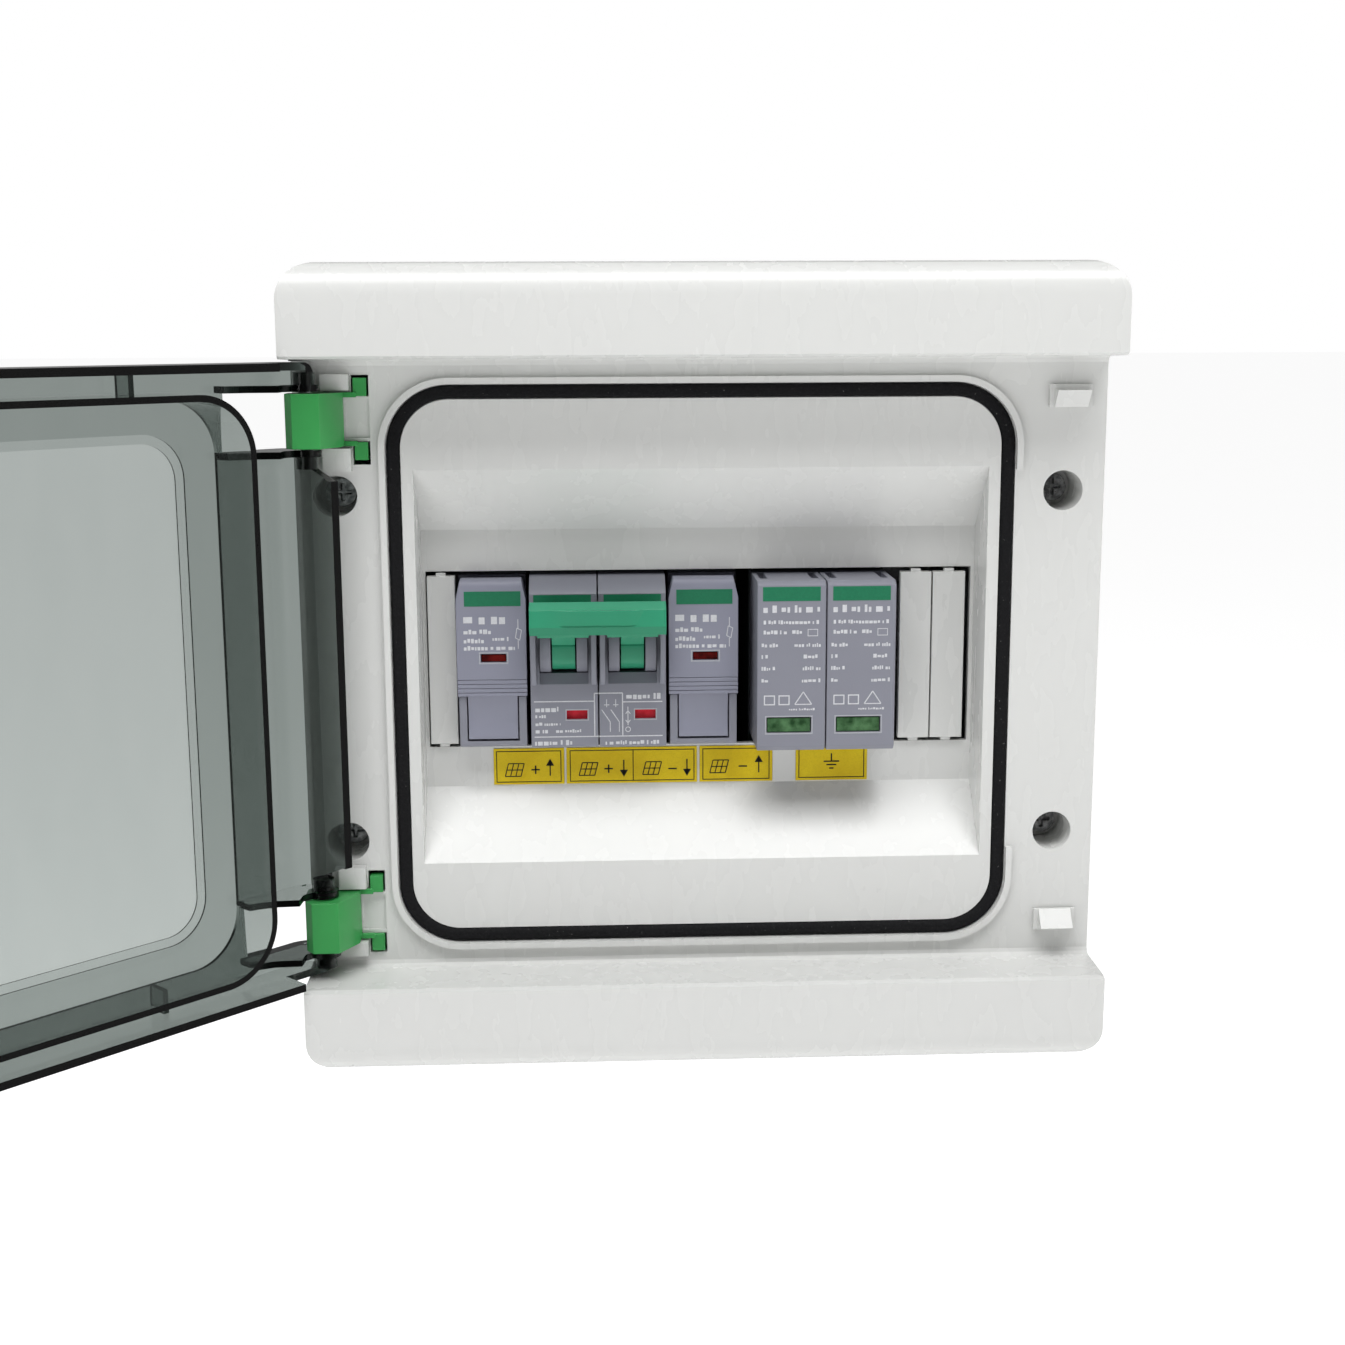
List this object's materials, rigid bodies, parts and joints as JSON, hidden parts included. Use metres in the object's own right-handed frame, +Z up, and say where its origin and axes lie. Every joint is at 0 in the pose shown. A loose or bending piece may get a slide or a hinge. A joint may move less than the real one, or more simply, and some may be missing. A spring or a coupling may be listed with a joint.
{
  "type": "dc combiner box",
  "caption": "Wall-mounted DC combiner box with a smoked door standing open on green hinges; fuse holders, a ganged isolator and plug-in surge cartridges show through the cover window.",
  "frame": {"origin": "centre of the back face, on the wall plane", "axes": "+Z up, front faces -Y, +X to the right as seen from the front"},
  "size_m": [0.3477, 0.2379, 0.2046],
  "materials": {
    "housing_plastic": "fine satin light grey moulding",
    "seal_foam": "matt black foam",
    "smoked_plastic": "smoked clear moulding",
    "hinge_plastic": "satin green moulding",
    "plated_steel": "zinc plated",
    "device_plastic": "satin grey moulding",
    "carrier_plastic": "satin grey moulding",
    "fuse_ceramic": "ceramic tube with metal caps",
    "lamp_window": "dark red lens",
    "toggle_plastic": "satin green moulding",
    "flag_plastic": "red indicator",
    "status_window": "green status lens",
    "base_plastic": "dark green-black moulding",
    "clip_plastic": "black moulding",
    "label_film": "yellow film with a thin black frame",
    "earth_brass": "brushed brass",
    "wire_red": "insulated wire",
    "wire_black": "insulated wire",
    "wire_green": "insulated wire"
  },
  "bodies": {
    "enclosure": {"back_box": "housing_plastic", "cover_seal": "seal_foam", "front_cover": "housing_plastic", "door_seal": "seal_foam", "cover_screw_1": "plated_steel", "cover_screw_2": "plated_steel", "cover_screw_3": "plated_steel", "cover_screw_4": "plated_steel", "hinge_upper": "hinge_plastic", "hinge_lower": "hinge_plastic", "catch_upper": "housing_plastic", "catch_lower": "housing_plastic", "din_rail": "plated_steel", "rail_screw_left": "plated_steel", "rail_screw_right": "plated_steel", "fuse_base_left": "device_plastic", "fuse_base_right": "device_plastic", "isolator_pole_left": "device_plastic", "isolator_pole_right": "device_plastic", "spd_base": "base_plastic", "blank_strip_left": "housing_plastic", "blank_strip_middle": "housing_plastic", "blank_strip_right": "housing_plastic", "label_positive_in": "label_film", "label_output": "label_film", "label_negative_in": "label_film", "label_earth": "label_film", "earth_bar": "earth_brass", "wire_positive_link": "wire_red", "wire_negative_link": "wire_black", "wire_positive_surge": "wire_red", "wire_negative_surge": "wire_black", "wire_earth_left": "wire_green", "wire_earth_right": "wire_green"},
    "door": {"door": "smoked_plastic"},
    "fuse_drawer_left": {"fuse_carrier_left": "carrier_plastic", "fuse_link_left": "fuse_ceramic", "fuse_lamp_left": "lamp_window"},
    "fuse_drawer_right": {"fuse_carrier_right": "carrier_plastic", "fuse_link_right": "fuse_ceramic", "fuse_lamp_right": "lamp_window"},
    "isolator_handle": {"isolator_toggle_left": "toggle_plastic", "isolator_toggle_right": "toggle_plastic", "isolator_tie_bar": "toggle_plastic"},
    "isolator_flag_left": {"isolator_flag_left": "flag_plastic"},
    "isolator_flag_right": {"isolator_flag_right": "flag_plastic"},
    "surge_cartridge_left": {"spd_cartridge_left": "device_plastic", "spd_window_left": "status_window"},
    "surge_cartridge_right": {"spd_cartridge_right": "device_plastic", "spd_window_right": "status_window"},
    "rail_clip_fuse_left": {"rail_clip_fuse_left": "clip_plastic"},
    "rail_clip_fuse_right": {"rail_clip_fuse_right": "clip_plastic"},
    "rail_clip_isolator_left": {"rail_clip_isolator_left": "clip_plastic"},
    "rail_clip_isolator_right": {"rail_clip_isolator_right": "clip_plastic"},
    "rail_clip_spd": {"rail_clip_spd": "clip_plastic"}
  },
  "joints": [
    {"name": "door_hinge", "type": "hinge", "parent": "enclosure", "child": "door", "pos_m": [-0.0984, -0.0893, 0], "axis": [0, 0, -1], "range_deg": [-134.2, 10]},
    {"name": "fuse_drawer_left_hinge", "type": "hinge", "parent": "enclosure", "child": "fuse_drawer_left", "pos_m": [-0.0549, -0.068, 0.015], "axis": [-1, 0, 0], "range_deg": [0, 75]},
    {"name": "fuse_drawer_right_hinge", "type": "hinge", "parent": "enclosure", "child": "fuse_drawer_right", "pos_m": [0.0006, -0.068, 0.015], "axis": [-1, 0, 0], "range_deg": [0, 75]},
    {"name": "isolator_handle_hinge", "type": "hinge", "parent": "enclosure", "child": "isolator_handle", "pos_m": [-0.0271, -0.0685, 0.004], "axis": [1, 0, 0], "range_deg": [0, 80]},
    {"name": "isolator_flag_left_slide", "type": "slide", "parent": "enclosure", "child": "isolator_flag_left", "axis": [0, 0, -1], "range_m": [0, 0.0033]},
    {"name": "isolator_flag_right_slide", "type": "slide", "parent": "enclosure", "child": "isolator_flag_right", "axis": [0, 0, -1], "range_m": [0, 0.0033]},
    {"name": "surge_cartridge_left_slide", "type": "slide", "parent": "enclosure", "child": "surge_cartridge_left", "axis": [0, -1, 0], "range_m": [0, 0.05]},
    {"name": "surge_cartridge_right_slide", "type": "slide", "parent": "enclosure", "child": "surge_cartridge_right", "axis": [0, -1, 0], "range_m": [0, 0.05]},
    {"name": "rail_clip_fuse_left_slide", "type": "slide", "parent": "enclosure", "child": "rail_clip_fuse_left", "axis": [0, 0, -1], "range_m": [0, 0.0035]},
    {"name": "rail_clip_fuse_right_slide", "type": "slide", "parent": "enclosure", "child": "rail_clip_fuse_right", "axis": [0, 0, -1], "range_m": [0, 0.0035]},
    {"name": "rail_clip_isolator_left_slide", "type": "slide", "parent": "enclosure", "child": "rail_clip_isolator_left", "axis": [0, 0, -1], "range_m": [0, 0.0035]},
    {"name": "rail_clip_isolator_right_slide", "type": "slide", "parent": "enclosure", "child": "rail_clip_isolator_right", "axis": [0, 0, -1], "range_m": [0, 0.0035]},
    {"name": "rail_clip_spd_slide", "type": "slide", "parent": "enclosure", "child": "rail_clip_spd", "axis": [0, 0, -1], "range_m": [0, 0.0035]}
  ],
  "couplings": [
    {"joint": "isolator_flag_left_slide", "follows": "isolator_handle_hinge", "m_per_rad": 0.0022918},
    {"joint": "isolator_flag_right_slide", "follows": "isolator_handle_hinge", "m_per_rad": 0.0022918}
  ]
}
